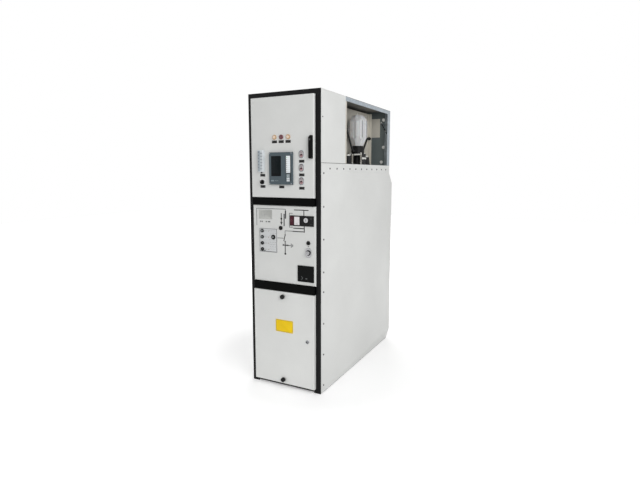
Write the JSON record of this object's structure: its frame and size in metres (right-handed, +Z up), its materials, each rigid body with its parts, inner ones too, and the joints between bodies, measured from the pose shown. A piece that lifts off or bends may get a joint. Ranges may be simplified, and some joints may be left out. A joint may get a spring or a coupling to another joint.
{
  "type": "gas-insulated switchgear panel",
  "caption": "Tall single switchgear panel with an instrument door, a drive panel with mimic controls, a cable cover, pressed side covers and an open busbar bay at the top rear.",
  "frame": {"origin": "middle of the bounding box's bottom, on the floor", "axes": "+X to the right as seen from the front, +Y from the front to the back, +Z up"},
  "size_m": [0.66, 1.4533, 2.19],
  "materials": {
    "black_paint": "satin",
    "pale_paint": "satin",
    "body_grey": "matte",
    "galvanised": "satin",
    "beige_plate": "matte",
    "cast_resin": "satin",
    "black_rubber": "matte",
    "relay_grey": "matte",
    "amber_lens": "gloss",
    "red_lens": "gloss",
    "button_grey": "satin",
    "button_red": "satin",
    "test_grey": "matte",
    "black_plastic": "satin",
    "chrome_metal": "polished",
    "white_plastic": "satin",
    "window_black": "gloss"
  },
  "bodies": {
    "cabinet": {"base_frame": "galvanised", "front_frame": "black_paint", "housing": "body_grey", "side_cover_right": "pale_paint", "side_cover_left": "pale_paint", "lv_wall_right": "pale_paint", "lv_wall_left": "pale_paint", "lv_back": "beige_plate", "lv_roof": "pale_paint", "roof_plate": "galvanised", "rear_frame": "galvanised", "rear_cover_upper": "body_grey", "rear_cover_lower": "pale_paint", "bay_plates": "beige_plate", "transformers": "cast_resin", "plug_bases": "black_rubber", "stands": "galvanised", "signal_cables": "black_rubber", "front_bands": "black_paint", "mechanism_panel": "pale_paint", "breaker_block": "black_plastic", "status_window": "white_plastic", "viewing_window": "window_black", "sockets": "black_plastic", "voltage_detector": "test_grey", "key_lock": "chrome_metal", "cable_cover": "pale_paint", "cover_fasteners": "black_plastic", "hinge_leaves": "black_paint"},
    "door": {"hinge_knuckles": "black_paint", "lv_door": "pale_paint", "relay": "relay_grey", "lamps_amber": "amber_lens", "lamp_red": "red_lens", "button_bezels": "button_grey", "test_block": "test_grey", "selector_plate": "button_grey", "handle_base": "black_plastic"},
    "button_lower": {"button_lower": "button_red"},
    "button_middle": {"button_middle": "button_red"},
    "button_upper": {"button_upper": "button_red"},
    "selector": {"selector_knob": "black_plastic"},
    "handle": {"handle_lever": "black_plastic"},
    "trip": {"trip_button": "button_red"},
    "close": {"close_button": "white_plastic"}
  },
  "joints": [
    {"name": "door_hinge", "type": "hinge", "parent": "cabinet", "child": "door", "pos_m": [-0.268, -0.6875, 1.798], "axis": [0, 0, -1], "range_deg": [0, 110]},
    {"name": "handle_turn", "type": "hinge", "parent": "door", "child": "handle", "pos_m": [0.24102, -0.7035, 1.84637], "axis": [0, 1, 0], "range_deg": [0, 90]},
    {"name": "selector_turn", "type": "hinge", "parent": "door", "child": "selector", "pos_m": [-0.16432, -0.7035, 1.55376], "axis": [0, 1, 0], "range_deg": [-45, 45]},
    {"name": "button_lower_push", "type": "slide", "parent": "door", "child": "button_lower", "axis": [0, 1, 0], "range_m": [0, 0.004], "stiffness_N_per_m": 600},
    {"name": "button_middle_push", "type": "slide", "parent": "door", "child": "button_middle", "axis": [0, 1, 0], "range_m": [0, 0.004], "stiffness_N_per_m": 600},
    {"name": "button_upper_push", "type": "slide", "parent": "door", "child": "button_upper", "axis": [0, 1, 0], "range_m": [0, 0.004], "stiffness_N_per_m": 600},
    {"name": "trip_push", "type": "slide", "parent": "cabinet", "child": "trip", "axis": [0, 1, 0], "range_m": [0, 0.004], "stiffness_N_per_m": 800},
    {"name": "close_push", "type": "slide", "parent": "cabinet", "child": "close", "axis": [0, 1, 0], "range_m": [0, 0.004], "stiffness_N_per_m": 800}
  ]
}
